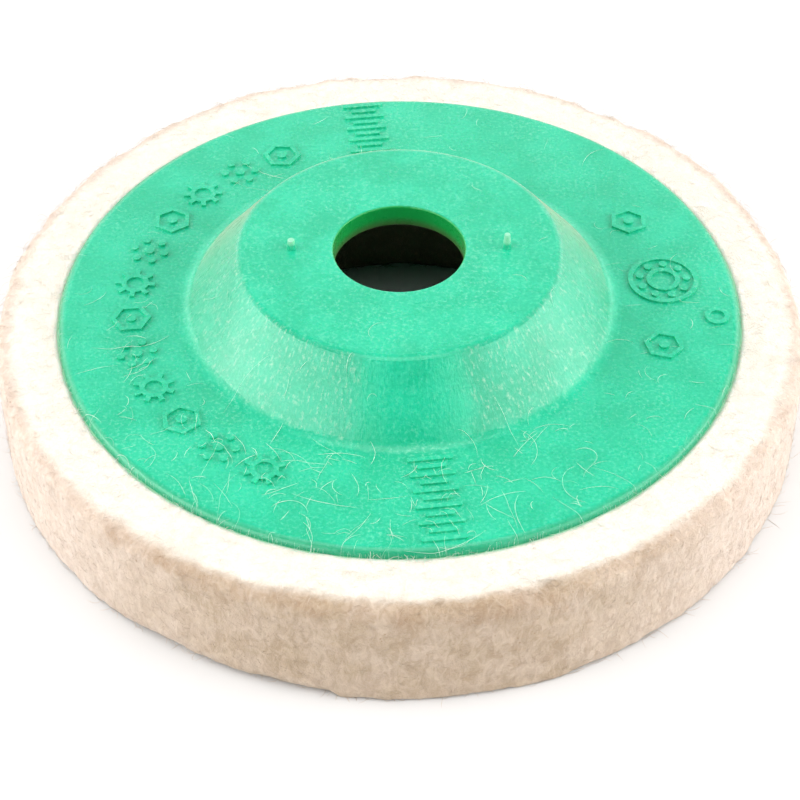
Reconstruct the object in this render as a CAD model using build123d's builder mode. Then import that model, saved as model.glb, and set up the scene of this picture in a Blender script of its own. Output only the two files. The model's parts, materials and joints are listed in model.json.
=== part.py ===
from build123d import *
import os
from math import cos, radians, sin, tan

# A felt polishing wheel for a small angle grinder. A moulded plastic backing plate
# with a raised hub is bonded to a thick ring of pressed wool felt. The grinder's inner
# flange bears on the hub's top, its lock nut sits in the hollow under the hub, and the
# felt's lower face does the polishing.
#
# Millimetres, +Z up along the bore. The origin is on the bore's axis, in the plane of
# the felt's working face, so the wheel rests on z = 0.

# Driving dimensions
wheel_diameter = 100.0
bore_diameter = 16.0
felt_thickness = 15.3
felt_hole_diameter = 52.0
flange_diameter = 84.4
flange_thickness = 1.9
hub_height = 8.5
hub_top_diameter = 39.2
hub_wall = 2.2
hub_floor = 3.1
flank_slope = 51.0
seat_depth = 1.2
bond_thickness = 0.4
bond_gap = 0.2
relief_height = 0.3

# Felt edges
felt_top_edge = 1.4
felt_low_edge = 0.9
felt_hole_edge = 0.5

# Plate edges and rounds
rim_round = 1.1
crown_round = 1.0
flank_foot_round = 2.2
hollow_round = 1.0
bore_round = 0.3
bore_chamfer = 0.2

# Ridges under the flange, which key it into the adhesive
key_count = 5
key_first_radius = 29.0
key_pitch = 3.0
key_width = 0.8
key_height = 0.2

# Raised marks on the flange: plain nuts, cogs and flowers, a bearing and two scales
mark_stroke = 0.6
mark_radius = 2.5
mark_arc_radius = 33.2
mark_arc_start = 118.0
mark_arc_sweep = 124.0
mark_arc_count = 12
side_mark_angles = (27.0, -15.0)
pip_radius = 0.65
petal_count = 6
petal_radius = 0.5
tooth_count = 8
tooth_length = 0.8
bearing_angle = 6.0
bearing_outer_radius = 4.4
bearing_inner_radius = 2.1
ball_count = 9
ball_radius = 0.5
spot_angle = -5.0
spot_place_radius = 39.2
spot_radius = 1.5
scale_angles = (-83.0, 97.0)
scale_first_radius = 28.0
scale_pitch = 1.25
scale_bar_count = 11
scale_long_bar = 5.4
scale_short_bar = 3.4

# Stubs left where the two moulding gates broke off the hub's top
gate_radius = 13.1
gate_stub_radius = 0.55
gate_stub_taper = 6.0
gate_stub_heights = (2.0, 1.3)

# Levels and radii that follow
wheel_radius = wheel_diameter / 2
bore_radius = bore_diameter / 2
felt_hole_radius = felt_hole_diameter / 2
flange_radius = flange_diameter / 2
seat_radius = flange_radius + bond_gap
seat_level = felt_thickness - seat_depth
flange_bottom = seat_level + bond_thickness
flange_top = flange_bottom + flange_thickness
hub_top = flange_top + hub_height
hub_top_radius = hub_top_diameter / 2
nut_seat = hub_top - hub_floor
flank_run = 1 / tan(radians(flank_slope))
hub_foot_radius = hub_top_radius + hub_height * flank_run


def hollow_radius(level):
    """Radius of the hollow's sloping wall, one wall thickness inside the flank."""
    flank_radius = hub_top_radius + (hub_top - level) * flank_run
    return flank_radius - hub_wall / sin(radians(flank_slope))


def key_places():
    """Where each keying ridge meets the flange's underside, from the inside out."""
    return [(key_first_radius + key_pitch * i, flange_bottom) for i in range(key_count)]


def corner(profile, radius, level):
    """The corner of a turned profile at this radius and level."""
    return profile.vertices().sort_by_distance((radius, level))[0]


def on_ray(radius, angle):
    """A place on the flange at this radius and angle, turned so that its X points out."""
    return Location(
        (radius * cos(radians(angle)), radius * sin(radians(angle)), 0), (0, 0, angle)
    )


def ring(outer_radius):
    """A plain raised ring."""
    Circle(outer_radius)
    Circle(outer_radius - mark_stroke, mode=Mode.SUBTRACT)


def nut():
    """A hexagon outline round a pip."""
    RegularPolygon(mark_radius, 6)
    RegularPolygon(mark_radius - mark_stroke, 6, mode=Mode.SUBTRACT)
    Circle(pip_radius)


def cog():
    """A ring with short square teeth."""
    ring(mark_radius - tooth_length)
    with PolarLocations(mark_radius - tooth_length / 2 - mark_stroke / 4, tooth_count):
        Rectangle(tooth_length + mark_stroke / 2, mark_stroke)


def flower():
    """A pip inside a circle of round petals."""
    Circle(pip_radius)
    with PolarLocations(mark_radius - petal_radius, petal_count):
        Circle(petal_radius)


def bearing():
    """Two rings with a row of balls between them."""
    ring(bearing_outer_radius)
    ring(bearing_inner_radius)
    ball_path_radius = (bearing_outer_radius - mark_stroke + bearing_inner_radius) / 2
    with PolarLocations(ball_path_radius, ball_count):
        Circle(ball_radius)


def ladder(angle):
    """A radial scale of parallel bars, long and short in turn."""
    for i in range(scale_bar_count):
        length = scale_short_bar if i % 2 else scale_long_bar
        with Locations(on_ray(scale_first_radius + i * scale_pitch, angle)):
            SlotOverall(length, mark_stroke, rotation=90)


# Felt ring: pressed wool, with a shallow seat that the flange beds into
with BuildPart() as felt_ring:
    with BuildSketch(Plane.XZ) as felt_profile:
        with BuildLine():
            Polyline(
                (felt_hole_radius, 0),
                (wheel_radius, 0),
                (wheel_radius, felt_thickness),
                (seat_radius, felt_thickness),
                (seat_radius, seat_level),
                (felt_hole_radius, seat_level),
                close=True,
            )
        make_face()
        fillet(corner(felt_profile, wheel_radius, felt_thickness), felt_top_edge)
        fillet(corner(felt_profile, wheel_radius, 0), felt_low_edge)
        fillet(corner(felt_profile, felt_hole_radius, 0), felt_hole_edge)
    revolve(axis=Axis.Z)
felt_ring.part.label = "felt_ring"

# Bond layer: cured adhesive under the flange, turned up round its edge
with BuildPart() as bond_layer:
    with BuildSketch(Plane.XZ):
        with BuildLine():
            Polyline(
                (felt_hole_radius, seat_level),
                (seat_radius, seat_level),
                (seat_radius, felt_thickness),
                (flange_radius, felt_thickness),
                (flange_radius, flange_bottom),
                (felt_hole_radius, flange_bottom),
                close=True,
            )
        make_face()
        with Locations(key_places()):
            Rectangle(
                key_width, key_height, align=(Align.CENTER, Align.MAX), mode=Mode.SUBTRACT
            )
    revolve(axis=Axis.Z)
bond_layer.part.label = "bond_layer"

# Backing plate: one moulding of flange, conical hub, marks and gate stubs
with BuildPart() as backing_plate:
    with BuildSketch(Plane.XZ) as plate_profile:
        with BuildLine():
            Polyline(
                (bore_radius, nut_seat),
                (bore_radius, hub_top),
                (hub_top_radius, hub_top),
                (hub_foot_radius, flange_top),
                (flange_radius, flange_top),
                (flange_radius, flange_bottom),
                (hollow_radius(flange_bottom), flange_bottom),
                (hollow_radius(nut_seat), nut_seat),
                close=True,
            )
        make_face()
        fillet(corner(plate_profile, hub_top_radius, hub_top), crown_round)
        fillet(corner(plate_profile, hub_foot_radius, flange_top), flank_foot_round)
        fillet(corner(plate_profile, flange_radius, flange_top), rim_round)
        fillet(corner(plate_profile, hollow_radius(nut_seat), nut_seat), hollow_round)
        fillet(corner(plate_profile, bore_radius, hub_top), bore_round)
        chamfer(corner(plate_profile, bore_radius, nut_seat), bore_chamfer)
        with Locations(key_places()):
            Rectangle(key_width, key_height, align=(Align.CENTER, Align.MAX))
    revolve(axis=Axis.Z)

    with BuildSketch(Plane.XY.offset(flange_top)):
        mark_step = mark_arc_sweep / (mark_arc_count - 1)
        for i in range(mark_arc_count):
            with Locations(on_ray(mark_arc_radius, mark_arc_start + i * mark_step)):
                draw_mark = (nut, flower, cog)[i % 3]
                draw_mark()
        for angle in side_mark_angles:
            with Locations(on_ray(mark_arc_radius, angle)):
                nut()
        with Locations(on_ray(mark_arc_radius, bearing_angle)):
            bearing()
        with Locations(on_ray(spot_place_radius, spot_angle)):
            ring(spot_radius)
        for angle in scale_angles:
            ladder(angle)
    extrude(amount=relief_height)

    for angle, height in zip((0, 180), gate_stub_heights):
        with BuildSketch(Plane.XY.offset(hub_top)):
            with Locations(on_ray(gate_radius, angle)):
                Circle(gate_stub_radius)
        extrude(amount=height, taper=gate_stub_taper)
backing_plate.part.label = "backing_plate"

os.makedirs("parts", exist_ok=True)
for piece in (felt_ring, bond_layer, backing_plate):
    export_step(piece.part, f"parts/{piece.part.label}.step")
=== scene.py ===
import json
import math

import bpy
import numpy as np
from mathutils import Matrix, Vector, noise
from mathutils.bvhtree import BVHTree

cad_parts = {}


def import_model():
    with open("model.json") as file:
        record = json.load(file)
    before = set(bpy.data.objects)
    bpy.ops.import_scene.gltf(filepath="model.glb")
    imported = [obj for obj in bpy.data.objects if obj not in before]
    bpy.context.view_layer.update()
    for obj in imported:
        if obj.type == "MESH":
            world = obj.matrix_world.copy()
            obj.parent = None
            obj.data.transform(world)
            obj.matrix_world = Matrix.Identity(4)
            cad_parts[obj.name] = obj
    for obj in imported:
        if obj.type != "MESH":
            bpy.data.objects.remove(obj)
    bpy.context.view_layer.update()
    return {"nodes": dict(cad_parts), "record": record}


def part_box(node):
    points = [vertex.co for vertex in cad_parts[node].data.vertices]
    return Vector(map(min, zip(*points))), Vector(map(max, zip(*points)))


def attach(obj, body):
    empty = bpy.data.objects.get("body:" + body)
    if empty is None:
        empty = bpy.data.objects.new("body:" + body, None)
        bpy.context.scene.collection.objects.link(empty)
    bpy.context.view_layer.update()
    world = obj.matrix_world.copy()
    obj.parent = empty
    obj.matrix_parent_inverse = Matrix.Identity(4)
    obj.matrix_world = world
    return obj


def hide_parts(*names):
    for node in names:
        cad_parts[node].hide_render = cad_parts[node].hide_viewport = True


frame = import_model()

# A felt polishing wheel: a green moulded backing plate bonded to a thick ring of pressed
# wool felt, lying with its felt down. Shapes are worked out in millimetres and written to
# the meshes in metres. Angles run round +Z from +X, and the camera stands at -90 degrees.
MM = 0.001


def node_rings(name):
    """Radius and height of every vertex of a CAD node, in millimetres."""
    mesh = frame["nodes"][name].data
    places = np.zeros(len(mesh.vertices) * 3, np.float32)
    mesh.vertices.foreach_get("co", places)
    places = places.reshape(-1, 3) / MM
    return np.hypot(places[:, 0], places[:, 1]), places[:, 2]


# Sizes from the frame
felt_radii, felt_levels = node_rings("felt_ring")
plate_radii, plate_levels = node_rings("backing_plate")
wheel_radius = float(felt_radii.max())
felt_top = float(felt_levels.max())
felt_hole_radius = float(felt_radii.min())
flange_radius = float(plate_radii.max())
flange_top = float(plate_levels[plate_radii > 0.97 * flange_radius].max())
seat_radius = float(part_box("bond_layer")[1].x) / MM
seat_level = float(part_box("bond_layer")[0].z) / MM
mounts = {m["name"]: m for m in frame["record"]["mounts"]}
bore_radius = mounts["bore"]["dims"]["r_mm"]
hub_top = mounts["hub_face"]["pos_m"][2] / MM
nut_seat = mounts["nut_seat"]["pos_m"][2] / MM
crown_radius = float(plate_radii[np.abs(plate_levels - hub_top) < 0.01].max())
hub_foot_radius = float(plate_radii[np.abs(plate_levels - flange_top) < 0.01].min())
stub_radii = plate_radii[plate_levels > hub_top + 0.5]
gate_radius = float(stub_radii.min() + stub_radii.max()) / 2

# Felt surface: grid steps, rounds and unevenness
felt_rings = 720
felt_fine_step = 0.36
felt_coarse_step = 0.62
felt_seat_step = 3.0
felt_top_round = 1.9
felt_low_round = 0.8
felt_hole_round = 0.6
felt_seat_round = 0.25
felt_sharp_round = 0.05
felt_swell = 0.28
felt_lump = 0.10
felt_grain = 0.055
felt_edge_wave = 0.55
felt_bulge = 0.22

# The strip torn off the felt's lower edge, in degrees
torn_start = 225.0
torn_end = 262.0

# Fibres: sides of each tube, the height that loose ones drop from, and thicknesses
fibre_sides = 3
drop_height = 40.0
fuzz_thickness = 0.045
side_fuzz_thickness = 0.04
fine_thickness = 0.018
loose_thickness = 0.042

# The gap at the front in the painted reflection haze on the hub's flank, in radians from the front
haze_gap_angle = 0.07
haze_gap_half = 0.28

# Camera
camera_elevation = 41.3
camera_distance = 276.1
camera_tilt = 2.57
camera_roll = 0.31
camera_lens = 100.0

felt_angles = np.linspace(0, 2 * math.pi, felt_rings, endpoint=False)
rng = np.random.default_rng(16)


# ---------------------------------------------------------------- mesh helpers


def felt_object(name, places, faces):
    """A smooth mesh of wool from places in millimetres and faces, riding on the wheel."""
    mesh = bpy.data.meshes.new(name)
    mesh.from_pydata((places.reshape(-1, 3) * MM).tolist(), [], faces)
    mesh.shade_smooth()
    made = bpy.data.objects.new(name, mesh)
    bpy.context.scene.collection.objects.link(made)
    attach(made, "root")
    return made


def point_attribute(made, name, values):
    """Stores one number per vertex, for a material to read."""
    attribute = made.data.attributes.new(name, "FLOAT", "POINT")
    attribute.data.foreach_set("value", np.asarray(values, np.float32))


def rounded_outline(corners):
    """A closed outline through corners (radius, level, round, step of the next edge)."""
    places = []
    count = len(corners)
    for i, (r, z, size, step) in enumerate(corners):
        here = Vector((r, z))
        back = Vector(corners[i - 1][:2]) - here
        ahead_corner = corners[(i + 1) % count]
        ahead = Vector(ahead_corner[:2]) - here
        start = here + back.normalized() * size
        end = here + ahead.normalized() * size
        turns = max(2, round(1.6 * size / step) + 1)
        for k in range(turns + 1):
            t = k / turns
            places.append(start * (1 - t) ** 2 + here * 2 * t * (1 - t) + end * t * t)
        stop = Vector(ahead_corner[:2]) - ahead.normalized() * ahead_corner[2]
        pieces = max(1, round((stop - end).length / step))
        places.extend(end.lerp(stop, k / pieces) for k in range(1, pieces))
    return np.array([tuple(p) for p in places])


def outline_normals(outline):
    """Unit outward normals of a closed outline that runs anticlockwise."""
    along = np.roll(outline, -1, axis=0) - np.roll(outline, 1, axis=0)
    out = np.stack([along[:, 1], -along[:, 0]], axis=1)
    return out / np.linalg.norm(out, axis=1, keepdims=True)


def turn(outline, angles):
    """The outline turned about the axis: an array of angles by outline by three."""
    r, z = outline[:, 0], outline[:, 1]
    return np.stack(
        [
            np.cos(angles)[:, None] * r,
            np.sin(angles)[:, None] * r,
            np.broadcast_to(z, (len(angles), len(z))),
        ],
        axis=2,
    )


def grid_faces(rows, columns):
    """Quads of a grid that closes on itself both ways."""
    i = np.arange(rows)[:, None]
    j = np.arange(columns)[None, :]
    i_next = (i + 1) % rows
    j_next = (j + 1) % columns
    corners = [
        i * columns + j,
        i_next * columns + j,
        i_next * columns + j_next,
        i * columns + j_next,
    ]
    quads = np.stack([np.broadcast_to(c, (rows, columns)) for c in corners], axis=2)
    return quads.reshape(-1, 4).tolist()


def fractal(places, wavelength, octaves, seed):
    """Smooth noise at each place, about -1 to 1, with this longest wavelength in mm."""
    offset = Vector((seed * 17.3, seed * -9.1, seed * 5.7))
    flat = places.reshape(-1, 3) / wavelength
    values = [noise.fractal(Vector(p) + offset, 0.6, 2.1, octaves) for p in flat.tolist()]
    return np.array(values).reshape(places.shape[:-1])


# ---------------------------------------------------------------- felt body


def felt_outline():
    """The felt's cross-section, anticlockwise, starting at the foot of its hole."""
    fine, coarse = felt_fine_step, felt_coarse_step
    return rounded_outline(
        [
            (felt_hole_radius, 0.0, felt_hole_round, coarse),
            (wheel_radius, 0.0, felt_low_round, fine),
            (wheel_radius, felt_top, felt_top_round, fine),
            (seat_radius, felt_top, felt_seat_round, fine),
            (seat_radius, seat_level, felt_sharp_round, felt_seat_step),
            (felt_hole_radius, seat_level, felt_sharp_round, coarse),
        ]
    )


def near(places, radius, level, reach):
    """1 at this radius and level of a turned shape, fading to 0 over the reach."""
    gap = np.hypot(np.hypot(places[..., 0], places[..., 1]) - radius, places[..., 2] - level)
    return np.exp(-((gap / reach) ** 2))


def round_rim(wavelength, octaves, seed):
    """Noise once round the rim, as a column with one number per angle."""
    rim = np.stack([np.cos(felt_angles), np.sin(felt_angles), np.zeros(felt_rings)], axis=1)
    return fractal(rim * wheel_radius, wavelength, octaves, seed)[:, None]


def unevenness(places):
    """How far the felt stands off its plain outline, outwards, in millimetres."""
    radii = np.hypot(places[..., 0], places[..., 1])
    outer_part = np.clip((radii - flange_radius - 2) / 4, 0, 1)
    swell = outer_part * round_rim(26.0, 3, 1) * felt_swell
    lump = fractal(places, 4.5, 2, 2) * felt_lump
    grain = fractal(places, 1.1, 2, 3) * felt_grain
    shift = swell + lump + grain

    # The seat under the plate is not seen, and stays clear of the adhesive
    seat = (radii < seat_radius + 0.3) & (places[..., 2] > seat_level - 0.3)
    shift = np.where(seat, -np.abs(shift) * 0.3, shift)

    # The felt bulges against the plate's edge
    bulge = near(places, seat_radius, felt_top, 0.7) * (0.7 + 0.5 * round_rim(3.0, 2, 6))
    return shift + bulge * felt_bulge


def toward(inward, upward):
    """A direction for each angle: this much towards the axis and this much up."""
    across = [-inward * np.cos(felt_angles), -inward * np.sin(felt_angles)]
    return np.stack([*across, np.full(felt_rings, upward)], axis=1)[:, None, :]


def edge_wear(places):
    """How the outer edges are worn: the upper one rounded down, the lower one ragged."""
    upper = near(places, wheel_radius, felt_top, 2.2) * np.clip(0.35 + round_rim(9.0, 3, 4), 0, 1.4)
    worn = toward(1.0, -1.6) * (upper * felt_edge_wave * 0.5)[..., None]

    degrees = np.degrees(felt_angles)
    torn = np.clip((torn_end - degrees) / 1.5, 0, 1) * np.clip((degrees - torn_start) / 12, 0, 1)
    ragged = np.clip(0.25 + round_rim(5.0, 3, 5), 0, 1) * 0.35 + torn[:, None] * 0.7
    lower = near(places, wheel_radius, 0.0, 1.5) * ragged
    return worn + toward(1.0, 1.3) * (lower * felt_edge_wave)[..., None]


def felt_grid():
    """Places and outward normals of the uneven felt surface, ring by ring."""
    outline = felt_outline()
    places = turn(outline, felt_angles)
    outward = turn(outline_normals(outline), felt_angles)
    moved = places + outward * unevenness(places)[..., None] + edge_wear(places)
    moved[..., 2] = np.maximum(moved[..., 2], 0.0)
    return moved, outward


def brown_band_amount(places):
    """How brown the felt is at each place: soft patches under the side's upper edge."""
    angles = np.degrees(np.arctan2(places[..., 1], places[..., 0]))
    radii = np.hypot(places[..., 0], places[..., 1])
    # The brownest stretches are at the front and, shorter, to its left
    front = np.exp(-(((angles + 90) / 20) ** 2))
    left = 0.7 * np.exp(-(((angles + 127) / 9) ** 2))
    patches = np.clip(fractal(places, 6.0, 2, 7) * 1.5 + 0.1, 0, 1)
    depth = felt_top - 0.9 - places[..., 2]
    level = np.exp(-((depth / np.where(depth > 0, 2.4, 0.8)) ** 2))
    hairs = 0.6 + 0.5 * fractal(places * np.array([1.0, 1.0, 0.3]), 0.9, 2, 8)
    return 0.8 * (front + left + 0.08) * level * patches * hairs * (radii > wheel_radius - 3.0)


def felt_body():
    """The pressed felt ring."""
    places, outward = felt_grid()
    rows, columns = places.shape[:2]
    made = felt_object("felt_body", places, grid_faces(rows, columns))
    point_attribute(made, "brown_band", brown_band_amount(places).ravel())
    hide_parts("felt_ring")
    return made, places, outward


# ---------------------------------------------------------------- fibres


def tube_rings(paths, thickness):
    """Rings of places round each path, tapering to its ends: (fibre, point, side, xyz)."""
    along = np.gradient(paths, axis=1)
    along /= np.linalg.norm(along, axis=2, keepdims=True) + 1e-9
    helper = np.where(np.abs(along[..., 2:3]) < 0.9, [0.0, 0.0, 1.0], [1.0, 0.0, 0.0])
    across = np.cross(along, helper)
    across /= np.linalg.norm(across, axis=2, keepdims=True) + 1e-9
    third = np.cross(along, across)
    t = np.linspace(0, 1, paths.shape[1])
    taper = np.minimum(1.0, 0.35 + 2.6 * np.minimum(t, 1 - t))
    radius = thickness[:, None, None] / 2 * taper[None, :, None]
    rings = []
    for side in range(fibre_sides):
        turned = 2 * math.pi * side / fibre_sides
        rings.append(paths + radius * (across * math.cos(turned) + third * math.sin(turned)))
    return np.stack(rings, axis=2)


def tube_faces(fibres, points):
    """The sides of every tube, then the faces that close both its ends."""
    first = np.arange(fibres)[:, None, None] * points * fibre_sides
    ring = np.arange(points - 1)[None, :, None] * fibre_sides
    side = np.arange(fibre_sides)[None, None, :]
    side_next = (side + 1) % fibre_sides
    base = first + ring
    beyond = base + fibre_sides
    quads = [base + side, base + side_next, beyond + side_next, beyond + side]
    start = first[:, 0] + np.arange(fibre_sides)[::-1]
    end = start[:, ::-1] + (points - 1) * fibre_sides
    return np.stack(quads, axis=3).reshape(-1, 4).tolist() + start.tolist() + end.tolist()


def tubes(name, paths, thickness):
    """Thin tapering tubes along paths (fibre, point, xyz). Thickness is per fibre."""
    return felt_object(name, tube_rings(paths, thickness), tube_faces(*paths.shape[:2]))


def curling_steps(count, points, lengths, headings, curl):
    """Plane paths that start at 0 with these headings and wander: (fibre, point, xy)."""
    bend = rng.normal(0, curl, (count, 1))
    wander = rng.normal(0, curl * 0.9, (count, points)).cumsum(axis=1)
    turned = headings[:, None] + bend * np.arange(points) + wander * 0.6
    step = (lengths / (points - 1))[:, None]
    moves = np.stack([np.cos(turned), np.sin(turned)], axis=2) * step[..., None]
    moves[:, 0] = 0
    return moves.cumsum(axis=1)


def felt_fuzz(name, grid, outward, zone, count, length, lift, thickness):
    """Short fibres that rise out of one zone of the felt and fall back to it."""
    rows, columns = grid.shape[:2]
    points = 6
    column = rng.choice(zone, count)
    row = rng.integers(0, rows, count)
    lengths = rng.uniform(0.4, 1.0, count) ** 1.5 * length
    headings = rng.uniform(0, 2 * math.pi, count)
    paths = curling_steps(count, points, lengths, headings, 0.22)
    home = grid[row, column]
    normal = outward[row, column]
    round_way = np.stack([-home[:, 1], home[:, 0], np.zeros(count)], axis=1)
    round_way /= np.linalg.norm(round_way, axis=1, keepdims=True)
    up_way = np.cross(normal, round_way)
    rise = np.sin(np.linspace(0, math.pi * 0.8, points))[None, :] * lengths[:, None]
    rise = rise * rng.uniform(0.2, 1.0, (count, 1)) * lift - 0.03
    places = (
        home[:, None, :]
        + paths[..., 0:1] * round_way[:, None, :]
        + paths[..., 1:2] * up_way[:, None, :]
        + rise[..., None] * normal[:, None, :]
    )
    places[..., 2] = np.maximum(places[..., 2], 0.02)
    return tubes(name, places, rng.uniform(0.6, 1.2, count) * thickness)


def draped_fibres(name, tree, starts, headings, lengths, points, curl, lift, thickness):
    """Loose fibres that lie on whatever is under them."""
    count = len(starts)
    plan = starts[:, None, :] + curling_steps(count, points, lengths, headings, curl)
    heights = np.zeros((count, points))
    for i in range(count):
        for k in range(points):
            x, y = plan[i, k] * MM
            hit = tree.ray_cast(Vector((x, y, drop_height * MM)), Vector((0, 0, -1)))[0]
            heights[i, k] = hit.z / MM if hit else 0.0
    # A fibre is stiff, so it bridges a step instead of following it
    padded = np.pad(heights, ((0, 0), (1, 1)), mode="edge")
    bridged = np.maximum(np.maximum(padded[:, :-2], padded[:, 2:]), heights)
    level = (bridged * 2 + heights) / 3
    arch = np.sin(np.linspace(0, math.pi, points))[None, :] * rng.uniform(0, lift, (count, 1))
    tips = rng.uniform(0, lift, (count, 1)) * np.linspace(0, 1, points)[None, :] ** 2
    level = np.maximum(level, heights) + arch + tips + thickness * 0.4
    places = np.concatenate([plan, level[..., None]], axis=2)
    return tubes(name, places, rng.uniform(0.6, 1.3, count) * thickness)


def ring_places(count, low, high, angles):
    """Plan places at random radii between low and high, at these angles in degrees."""
    radii = np.sqrt(rng.uniform(low**2, high**2, count))
    turned = np.radians(angles)
    return np.stack([radii * np.cos(turned), radii * np.sin(turned)], axis=1)


def surface_tree(objects):
    """One search tree over these objects' meshes, in the row frame."""
    places, faces = [], []
    for made in objects:
        first = len(places)
        places.extend(v.co.copy() for v in made.data.vertices)
        faces.extend([first + i for i in p.vertices] for p in made.data.polygons)
    return BVHTree.FromPolygons(places, faces)


def fuzz_pieces(grid, outward):
    """Short fuzz on the felt's side, top, underside and centre hole."""
    levels, radii = grid[0, :, 2], np.hypot(grid[0, :, 0], grid[0, :, 1])
    side = (radii > wheel_radius - 2.0) & (levels > 0.5)
    top = (levels > felt_top - 0.9) & (radii > seat_radius)
    under = (levels < 0.6) & (radii > felt_hole_radius)
    hole = (radii < felt_hole_radius + 0.6) & (levels < seat_level - 0.3)
    zones = [
        ("felt_fuzz_side", side, 5200, 1.6, 0.22, side_fuzz_thickness),
        ("felt_fuzz_top", top, 3600, 2.4, 0.35, fuzz_thickness),
        ("felt_fuzz_under", under, 3800, 2.8, 0.10, fuzz_thickness),
        ("felt_fuzz_hole", hole, 1200, 2.2, 0.30, fuzz_thickness),
    ]
    columns = np.arange(grid.shape[1])
    return [felt_fuzz(name, grid, outward, columns[zone], *rest) for name, zone, *rest in zones]


def edge_fibres(tree):
    """Short fibres that cross the plate's edge, thickest at the front."""
    everywhere, in_front = 1900, 1100
    count = everywhere + in_front
    angles = np.concatenate([rng.uniform(0, 360, everywhere), rng.normal(-90, 45, in_front)])
    starts = ring_places(count, seat_radius - 0.05, seat_radius + 0.4, angles)
    headings = np.radians(angles + 180) + rng.normal(0, 0.9, count)
    lengths = 0.25 + rng.gamma(0.9, 0.14, count)
    return draped_fibres(
        "edge_fibres", tree, starts, headings, lengths, 5, 0.2, 0.10, fine_thickness
    )


def loose_fibres(tree):
    """Longer loose fibres lying on the flange, and a few on the hub."""
    everywhere, in_front, on_hub = 70, 220, 20
    count = everywhere + in_front
    angles = np.concatenate([rng.uniform(0, 360, everywhere), rng.normal(-102, 38, in_front)])
    starts = np.concatenate(
        [
            ring_places(on_hub, crown_radius - 4, hub_foot_radius, angles[:on_hub]),
            ring_places(count - on_hub, hub_foot_radius + 1, flange_radius + 1, angles[on_hub:]),
        ]
    )
    headings = np.radians(angles + 180) + rng.normal(0, 1.1, count)
    lengths = 0.9 + rng.gamma(1.3, 1.4, count)
    return draped_fibres(
        "loose_fibres", tree, starts, headings, lengths, 16, 0.08, 0.2, loose_thickness
    )


# ---------------------------------------------------------------- node helpers


class Nodes:
    """A node tree, with short ways to add and join nodes."""

    def __init__(self, tree):
        self.tree = tree

    def add(self, kind, **settings):
        """A new node of this kind with these settings."""
        node = self.tree.nodes.new(kind)
        for key, value in settings.items():
            setattr(node, key, value)
        return node

    def join(self, source, target):
        """Links an output to an input."""
        self.tree.links.new(source, target)

    def feed(self, socket, value):
        """Sets a socket to a number or colour, or joins it to another socket."""
        if isinstance(value, bpy.types.NodeSocket):
            self.join(value, socket)
        else:
            socket.default_value = value

    def position(self):
        """The shaded point, in metres."""
        return self.add("ShaderNodeNewGeometry").outputs["Position"]

    def parts(self, vector):
        """The x, y and z of a vector."""
        node = self.add("ShaderNodeSeparateXYZ")
        self.join(vector, node.inputs[0])
        return node.outputs

    def length(self, a, b):
        """The length of the plane vector (a, b)."""
        squares = self.math("ADD", self.math("MULTIPLY", a, a), self.math("MULTIPLY", b, b))
        return self.math("SQRT", squares)

    def place(self):
        """The shaded point's x, y, z and radius."""
        x, y, z = self.parts(self.position())
        return x, y, z, self.length(x, y)

    def angle_from_front(self, x, y):
        """The angle about the axis in radians: 0 at the front, positive to the right."""
        return self.math("ARCTAN2", x, self.math("MULTIPLY", y, -1.0))

    def math(self, operation, a, b=0.0, c=0.0):
        """The result of a maths node."""
        node = self.add("ShaderNodeMath", operation=operation)
        for socket, value in zip(node.inputs, (a, b, c)):
            self.feed(socket, value)
        return node.outputs[0]

    def ramp(self, value, low, high, low_to=0.0, high_to=1.0):
        """Maps low..high smoothly onto low_to..high_to."""
        node = self.add("ShaderNodeMapRange", interpolation_type="SMOOTHSTEP")
        for socket, number in zip(node.inputs, (value, low, high, low_to, high_to)):
            self.feed(socket, number)
        return node.outputs[0]

    def noise(self, wavelength, detail=3.0, rough=0.55, warp=0.0, vector=None):
        """Noise with this wavelength in millimetres, 0 to 1."""
        node = self.add("ShaderNodeTexNoise")
        self.feed(node.inputs["Vector"], self.position() if vector is None else vector)
        node.inputs["Scale"].default_value = 1 / (wavelength * MM)
        node.inputs["Detail"].default_value = detail
        node.inputs["Roughness"].default_value = rough
        node.inputs["Distortion"].default_value = warp
        return node.outputs["Fac"]

    def mix(self, share, a, b):
        """Colour a, with this share of colour b."""
        node = self.add("ShaderNodeMix", data_type="RGBA")
        self.feed(node.inputs[0], share)
        self.feed(node.inputs[6], a)
        self.feed(node.inputs[7], b)
        return node.outputs[2]

    def bump(self, height, distance):
        """A bump of this many millimetres for a height of 0 to 1."""
        node = self.add("ShaderNodeBump")
        node.inputs["Distance"].default_value = distance * MM
        self.feed(node.inputs["Height"], height)
        return node.outputs["Normal"]


class Material(Nodes):
    """The nodes of a new material with one principled shader."""

    def __init__(self, name):
        self.material = bpy.data.materials.new(name)
        self.material.use_nodes = True
        super().__init__(self.material.node_tree)
        self.tree.nodes.clear()
        self.shader = self.add("ShaderNodeBsdfPrincipled")
        output = self.add("ShaderNodeOutputMaterial")
        self.join(self.shader.outputs[0], output.inputs[0])

    def set(self, **values):
        """Feeds the shader's sockets, named with _ for a space."""
        for key, value in values.items():
            self.feed(self.shader.inputs[key.replace("_", " ")], value)


def rgb(red, green, blue):
    """An opaque linear colour."""
    return (red, green, blue, 1.0)


# ---------------------------------------------------------------- materials


def flank_mask(m, radius, z):
    """1 on the hub's flank and its foot, 0 elsewhere."""
    return m.math(
        "MULTIPLY",
        m.ramp(radius, (crown_radius + 0.1) * MM, (crown_radius + 0.7) * MM),
        m.ramp(z, (flange_top + 0.15) * MM, (flange_top + 1.1) * MM),
    )


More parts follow.
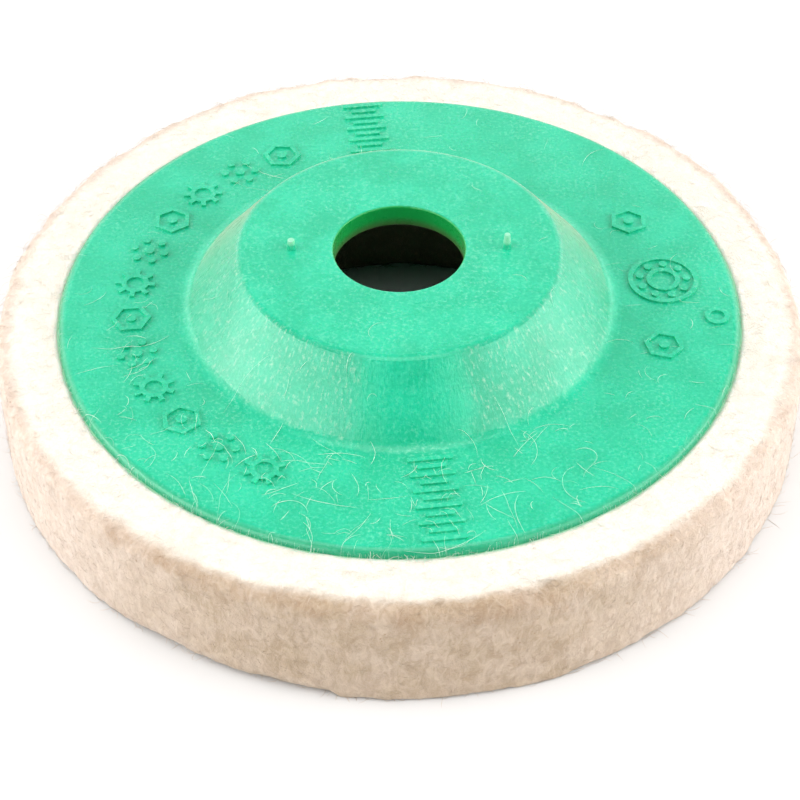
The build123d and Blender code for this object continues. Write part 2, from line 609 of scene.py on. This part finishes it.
def outward_streaks(m, x, y, z, radius):
    """Noise drawn out outwards and down the flank."""
    unrolled = m.add("ShaderNodeCombineXYZ")
    m.feed(unrolled.inputs[0], m.math("MULTIPLY", m.math("ARCTAN2", y, x), hub_foot_radius * MM))
    m.feed(unrolled.inputs[1], m.math("MULTIPLY", m.math("SUBTRACT", radius, z), 0.22))
    return m.noise(0.42, 3.0, 0.6, vector=unrolled.outputs[0])


def dusty_green(m, grains, on_flank):
    """Mottled green under fine pale dust, which is thicker in some places than in others."""
    mottle = m.math("MULTIPLY_ADD", grains, 0.5, m.math("MULTIPLY", m.noise(6.0, 3.0), 0.5))
    deep = rgb(0.006, 0.430, 0.230)
    bright = rgb(0.014, 0.525, 0.300)
    green = m.mix(m.ramp(mottle, 0.36, 0.64), deep, bright)
    cloud = m.ramp(m.noise(11.0, 3.0), 0.35, 0.65)
    thick = m.math("MULTIPLY_ADD", cloud, 0.16, 0.08)
    dust = m.math("MULTIPLY", m.ramp(grains, 0.48, 0.78), thick)
    kept = m.math("MULTIPLY_ADD", on_flank, -0.5, 1.0)
    return m.mix(m.math("MULTIPLY", dust, kept), green, rgb(0.55, 0.80, 0.64))


def scuffs_and_painted_haze(m, colour, x, y, on_flank, scuffs):
    """Greys the hub's flank and hazes it pale, a painted reflection of the studio streaked by real
    scuffs, but for a gap at the front where the dim studio front is mirrored.
    """
    off_gap = m.math("ABSOLUTE", m.math("SUBTRACT", m.angle_from_front(x, y), haze_gap_angle))
    beyond = m.ramp(off_gap, haze_gap_half - 0.05, haze_gap_half + 0.07)
    # Painted reflection: away from the front gap, the flank is greyed and hazed pale
    worn = m.math("MULTIPLY", on_flank, beyond)
    colour = m.mix(m.math("MULTIPLY", worn, 0.22), colour, rgb(0.02, 0.20, 0.12))
    painted_haze = m.math("MULTIPLY", scuffs, m.math("MULTIPLY_ADD", worn, 0.42, 0.03))
    return m.mix(painted_haze, colour, rgb(0.60, 0.66, 0.54))


def painted_edge_shade(m, colour, radius, z):
    """Paints shade on the rim's rounded edge, and on the bore's wall, deep green turning dark olive
    towards the hollow.
    """
    # Painted shade: the rounded rim is darker green
    rim = m.ramp(radius, (flange_radius - 1.0) * MM, (flange_radius - 0.2) * MM, 0.0, 0.7)
    colour = m.mix(rim, colour, rgb(0.020, 0.30, 0.14))
    # Painted shade in the bore, darkest low down by the hollow
    in_bore = m.ramp(radius, (bore_radius + 0.05) * MM, (bore_radius + 0.22) * MM, 1.0, 0.0)
    up_wall = m.ramp(z, nut_seat * MM, (nut_seat + 1.6) * MM)
    shaded_wall = m.mix(up_wall, rgb(0.06, 0.15, 0.04), rgb(0.004, 0.32, 0.06))
    return m.mix(in_bore, colour, shaded_wall)


def pale_stubs(m, colour, x, y, z):
    """Pales the gate stubs where they broke off."""
    off_gate = m.length(m.math("SUBTRACT", m.math("ABSOLUTE", x), gate_radius * MM), y)
    on_stub = m.math(
        "MULTIPLY",
        m.ramp(off_gate, 0.6 * MM, 0.8 * MM, 1.0, 0.0),
        m.ramp(z, (hub_top + 0.5) * MM, (hub_top + 1.1) * MM),
    )
    return m.mix(on_stub, colour, rgb(0.26, 0.62, 0.42))


def green_plastic():
    """Moulded polypropylene: satin, a little translucent, scuffed on the hub's flank, with a
    painted reflection haze there and painted shade on the rim and in the bore.
    """
    m = Material("green_plastic")
    x, y, z, radius = m.place()
    on_flank = flank_mask(m, radius, z)
    streaks = outward_streaks(m, x, y, z, radius)
    grains = m.noise(0.42, 2.0, 0.7)
    scuffs = m.math("MULTIPLY", m.ramp(streaks, 0.46, 0.70), m.ramp(grains, 0.38, 0.66))
    colour = dusty_green(m, grains, on_flank)
    colour = scuffs_and_painted_haze(m, colour, x, y, on_flank, scuffs)
    colour = painted_edge_shade(m, colour, radius, z)
    colour = pale_stubs(m, colour, x, y, z)
    streaked = m.math("MULTIPLY", streaks, m.math("MULTIPLY_ADD", on_flank, 1.2, 0.3))
    m.set(
        Base_Color=colour,
        Roughness=m.ramp(m.noise(2.2, 3.0), 0.3, 0.7, 0.24, 0.32),
        IOR=1.49,
        Sheen_Weight=m.math("MULTIPLY_ADD", on_flank, 0.75, 0.20),
        Sheen_Roughness=0.30,
        Sheen_Tint=rgb(1.0, 0.84, 0.66),
        Subsurface_Weight=0.2,
        Subsurface_Radius=(0.25, 1.0, 0.5),
        Subsurface_Scale=0.001,
        Normal=m.bump(m.math("ADD", streaked, m.noise(0.5, 2.0, 0.6)), 0.026),
    )
    return m.material


def felt_side_mask(m, radius):
    """1 on the felt's side and 0 on its top, with a ragged line between them."""
    ragged = m.math("MULTIPLY_ADD", m.noise(3.0, 3.0), 1.6 * MM, -0.8 * MM)
    edge = m.math("ADD", radius, ragged)
    return m.ramp(edge, (wheel_radius - 2.6) * MM, (wheel_radius - 0.9) * MM)


def wool_and_painted_shade(m, mottle, x, y, on_side):
    """Clean wool on top; down the side pinker and greyer, partly the wool's own tone and partly
    painted shade; browner at the front, painted shade where the side faces the dim studio front.
    """
    clean = m.mix(mottle, rgb(0.86, 0.79, 0.69), rgb(0.90, 0.85, 0.77))
    # The side's colour is partly the wool's own tone and partly painted shade
    side = m.mix(mottle, rgb(0.68, 0.54, 0.44), rgb(0.80, 0.67, 0.57))
    # Painted shade: the side is browner towards the front, which faces the dim studio front
    painted_front_shade = m.mix(mottle, rgb(0.45, 0.33, 0.22), rgb(0.61, 0.48, 0.35))
    off_front = m.math("ABSOLUTE", m.angle_from_front(x, y))
    cloud = m.ramp(m.noise(4.5, 3.0), 0.35, 0.68)
    patches = m.math("MULTIPLY_ADD", cloud, 0.35, 0.65)
    in_front = m.math("MULTIPLY", m.ramp(off_front, 0.30, 1.05, 1.0, 0.0), patches)
    side = m.mix(in_front, side, painted_front_shade)
    return m.mix(on_side, clean, side)


def soil_and_painted_shade(m, colour, matted, on_side, radius):
    """Adds painted shade on the cut wall of the centre hole and in the felt's hollows, dark specks,
    and soft brown patches under the side's upper edge.
    """
    # Painted shade: the cut wall of the centre hole is dark, like the unlit hollow under the hub
    hole_shade = m.ramp(radius, (felt_hole_radius + 0.4) * MM, (felt_hole_radius + 1.5) * MM, 1.0, 0.0)
    colour = m.mix(hole_shade, colour, rgb(0.16, 0.15, 0.09))
    tan = rgb(0.52, 0.37, 0.24)
    brown = rgb(0.33, 0.18, 0.08)
    # Painted shade: tan where the felt's bump is low, in its hollows
    colour = m.mix(m.ramp(matted, 0.25, 0.5, 0.35, 0.0), colour, tan)
    specks = m.ramp(m.noise(0.6, 1.0, 0.4), 0.755, 0.81, 0.0, 0.5)
    colour = m.mix(m.math("MULTIPLY", on_side, specks), colour, brown)
    brown_band = m.add("ShaderNodeAttribute", attribute_name="brown_band").outputs["Fac"]
    return m.mix(m.math("MULTIPLY", brown_band, m.ramp(matted, 0.3, 0.6, 0.5, 1.0)), colour, brown)


def wool_felt():
    """Pressed undyed wool: mottled, matted fibres with a soft sheen."""
    m = Material("wool_felt")
    x, y, z, radius = m.place()
    # Fibres on the side lie mostly up and down it
    upright = m.add("ShaderNodeCombineXYZ")
    for socket, value in zip(upright.inputs, (x, y, m.math("MULTIPLY", z, 0.5))):
        m.feed(socket, value)
    matted = m.noise(0.28, 3.0, 0.7, 1.6, upright.outputs[0])
    mottle = m.ramp(m.noise(1.1, 4.0, 0.65, 1.0, upright.outputs[0]), 0.32, 0.7)
    on_side = felt_side_mask(m, radius)
    colour = wool_and_painted_shade(m, mottle, x, y, on_side)
    height = m.math("MULTIPLY_ADD", matted, 0.6, m.noise(0.7, 4.0, 0.65, 1.5))
    m.set(
        Base_Color=soil_and_painted_shade(m, colour, matted, on_side, radius),
        Roughness=0.95,
        Specular_IOR_Level=0.15,
        Sheen_Weight=0.3,
        Sheen_Roughness=0.5,
        Sheen_Tint=rgb(1.0, 0.95, 0.88),
        Subsurface_Weight=0.3,
        Subsurface_Radius=(1.0, 0.8, 0.6),
        Subsurface_Scale=0.0008,
        Normal=m.bump(height, 0.18),
    )
    return m.material


def pale_wool_fibre():
    """Single wool fibres: pale, with the green light of the plastic that shines through them
    painted into their colour.
    """
    m = Material("pale_fibre")
    # Painted light: the green that the plastic sheds through the fibres
    painted_green_light = rgb(0.42, 0.80, 0.60)
    pale = rgb(0.76, 0.92, 0.80)
    m.set(
        Base_Color=m.mix(m.ramp(m.noise(2.0, 2.0), 0.35, 0.65), painted_green_light, pale),
        Roughness=m.ramp(m.noise(0.6, 2.0), 0.3, 0.7, 0.4, 0.65),
        Sheen_Weight=0.3,
    )
    return m.material


def cured_adhesive():
    """Contact adhesive: dark olive, uneven and half glossy, with pale green light painted round the
    plate.
    """
    m = Material("cured_adhesive")
    radius = m.place()[3]
    olive = rgb(0.10, 0.13, 0.05)
    tan = rgb(0.34, 0.26, 0.13)
    colour = m.mix(m.ramp(m.noise(2.5, 4.0, 0.6, 0.6), 0.38, 0.75), olive, tan)
    # Painted light: the bead round the plate's edge is painted pale green, for green light from the
    # plate, which lightens the shade in the gap there
    plate_green_light = m.ramp(radius, (flange_radius - 0.2) * MM, (flange_radius - 0.05) * MM)
    colour = m.mix(plate_green_light, colour, rgb(0.30, 0.58, 0.36))
    m.set(
        Base_Color=colour,
        Roughness=m.ramp(m.noise(0.8, 3.0), 0.3, 0.7, 0.3, 0.6),
        Subsurface_Weight=0.2,
        Subsurface_Scale=0.0005,
        Normal=m.bump(m.noise(0.6, 3.0), 0.08),
    )
    return m.material


def give(made, material):
    """Makes this the object's only material."""
    made.data.materials.clear()
    made.data.materials.append(material)


# ---------------------------------------------------------------- stage, lights, camera


def stage():
    """A plain pale floor, a hair below the felt so that their faces never coincide."""
    half = 6.0
    mesh = bpy.data.meshes.new("floor")
    drop = -0.02 * MM
    corners = [(-half, -half, drop), (half, -half, drop), (half, half, drop), (-half, half, drop)]
    mesh.from_pydata(corners, [], [(0, 1, 2, 3)])
    floor = bpy.data.objects.new("floor", mesh)
    bpy.context.scene.collection.objects.link(floor)
    m = Material("pale_floor")
    m.set(Base_Color=rgb(0.74, 0.74, 0.74), Roughness=0.9, Specular_IOR_Level=0.2)
    give(floor, m.material)


def softbox(name, place, facing, width, height, power):
    """A soft rectangular light at this place in millimetres, facing this way."""
    light = bpy.data.lights.new(name, "AREA")
    light.shape = "RECTANGLE"
    light.size = width * MM
    light.size_y = height * MM
    light.energy = power
    made = bpy.data.objects.new(name, light)
    made.location = Vector(place) * MM
    made.rotation_euler = Vector(facing).to_track_quat("-Z", "Y").to_euler()
    bpy.context.scene.collection.objects.link(made)
    return made


def world(front, back_low, back_high):
    """A studio dim behind the camera and bright behind the wheel.

    Reflections see it brighter at the back, most so low down to the left and right, and
    dimmer overhead.
    """
    made = bpy.data.worlds.new("studio")
    made.use_nodes = True
    n = Nodes(made.node_tree)
    across, behind, height = n.parts(n.add("ShaderNodeTexCoord").outputs["Generated"])
    ray = n.add("ShaderNodeLightPath").outputs

    mirrored_low = n.ramp(n.math("ABSOLUTE", across), 0.35, 0.75, back_low, back_low * 2)
    mirrored_high = n.ramp(height, 0.58, 0.78, back_high * 1.8, back_high * 0.5)
    mirrored = n.ramp(height, 0.30, 0.56, mirrored_low, mirrored_high)
    plain = n.ramp(height, 0.30, 0.62, back_low, back_high)
    back = n.ramp(ray["Is Glossy Ray"], 0.0, 1.0, plain, mirrored)
    round_about = n.ramp(behind, -0.75, 0.35, front, back)
    strength = n.ramp(ray["Is Camera Ray"], 0.0, 1.0, round_about, 1.0)

    background = n.tree.nodes["Background"]
    background.inputs["Color"].default_value = rgb(1.0, 1.0, 1.0)
    n.join(strength, background.inputs["Strength"])
    bpy.context.scene.world = made


def camera():
    """Looks down at the flange, with the wheel a little above the picture's centre."""
    up_angle = math.radians(camera_elevation)
    back = Vector((0, -math.cos(up_angle), math.sin(up_angle)))
    right = Vector((1, 0, 0))
    place = Vector((0, 0, flange_top)) + back * camera_distance
    data = bpy.data.cameras.new("camera")
    data.lens = camera_lens
    data.sensor_width = 36.0
    data.clip_start = 0.01
    data.clip_end = 50.0
    made = bpy.data.objects.new("camera", data)
    facing = Matrix((right, back.cross(right), back)).transposed().to_4x4()
    tilt = Matrix.Rotation(math.radians(-camera_tilt), 4, "X")
    roll = Matrix.Rotation(math.radians(-camera_roll), 4, "Z")
    made.matrix_world = Matrix.Translation(place * MM) @ facing @ tilt @ roll
    bpy.context.scene.collection.objects.link(made)
    bpy.context.scene.camera = made


# ---------------------------------------------------------------- the scene

felt, felt_places, felt_outward = felt_body()
fuzz = fuzz_pieces(felt_places, felt_outward)
plate = frame["nodes"]["backing_plate"]
tree = surface_tree([plate, felt])
wool = wool_felt()
for piece in [felt] + fuzz:
    give(piece, wool)
pale_fibre = pale_wool_fibre()
for piece in (edge_fibres(tree), loose_fibres(tree)):
    give(piece, pale_fibre)
give(plate, green_plastic())
plate.data.shade_smooth()
give(frame["nodes"]["bond_layer"], cured_adhesive())

stage()
world(0.08, 1.3, 0.8)
for side, name in ((-1, "softbox_left"), (1, "softbox_right")):
    made = softbox(name, (side * 450, -95, 215), (side * -450, 95, -200), 670, 230, 2.5)
    made.visible_glossy = False
softbox("softbox_top", (0, -185, 570), (0, 185, -555), 520, 420, 1.7)

# Upright panels seen only as reflections. They run away from the camera, so that the pale
# haze they leave on the hub's flank ends level all the way round
panel_left = softbox("panel_left", (-480, -60, 135), (0.60, 0.80, 0), 900, 230, 2.4)
panel_right = softbox("panel_right", (500, -10, 135), (-0.60, 0.80, 0), 900, 230, 1.6)
for panel in (panel_left, panel_right):
    panel.visible_diffuse = False
camera()

bpy.context.scene.view_settings.view_transform = "Standard"
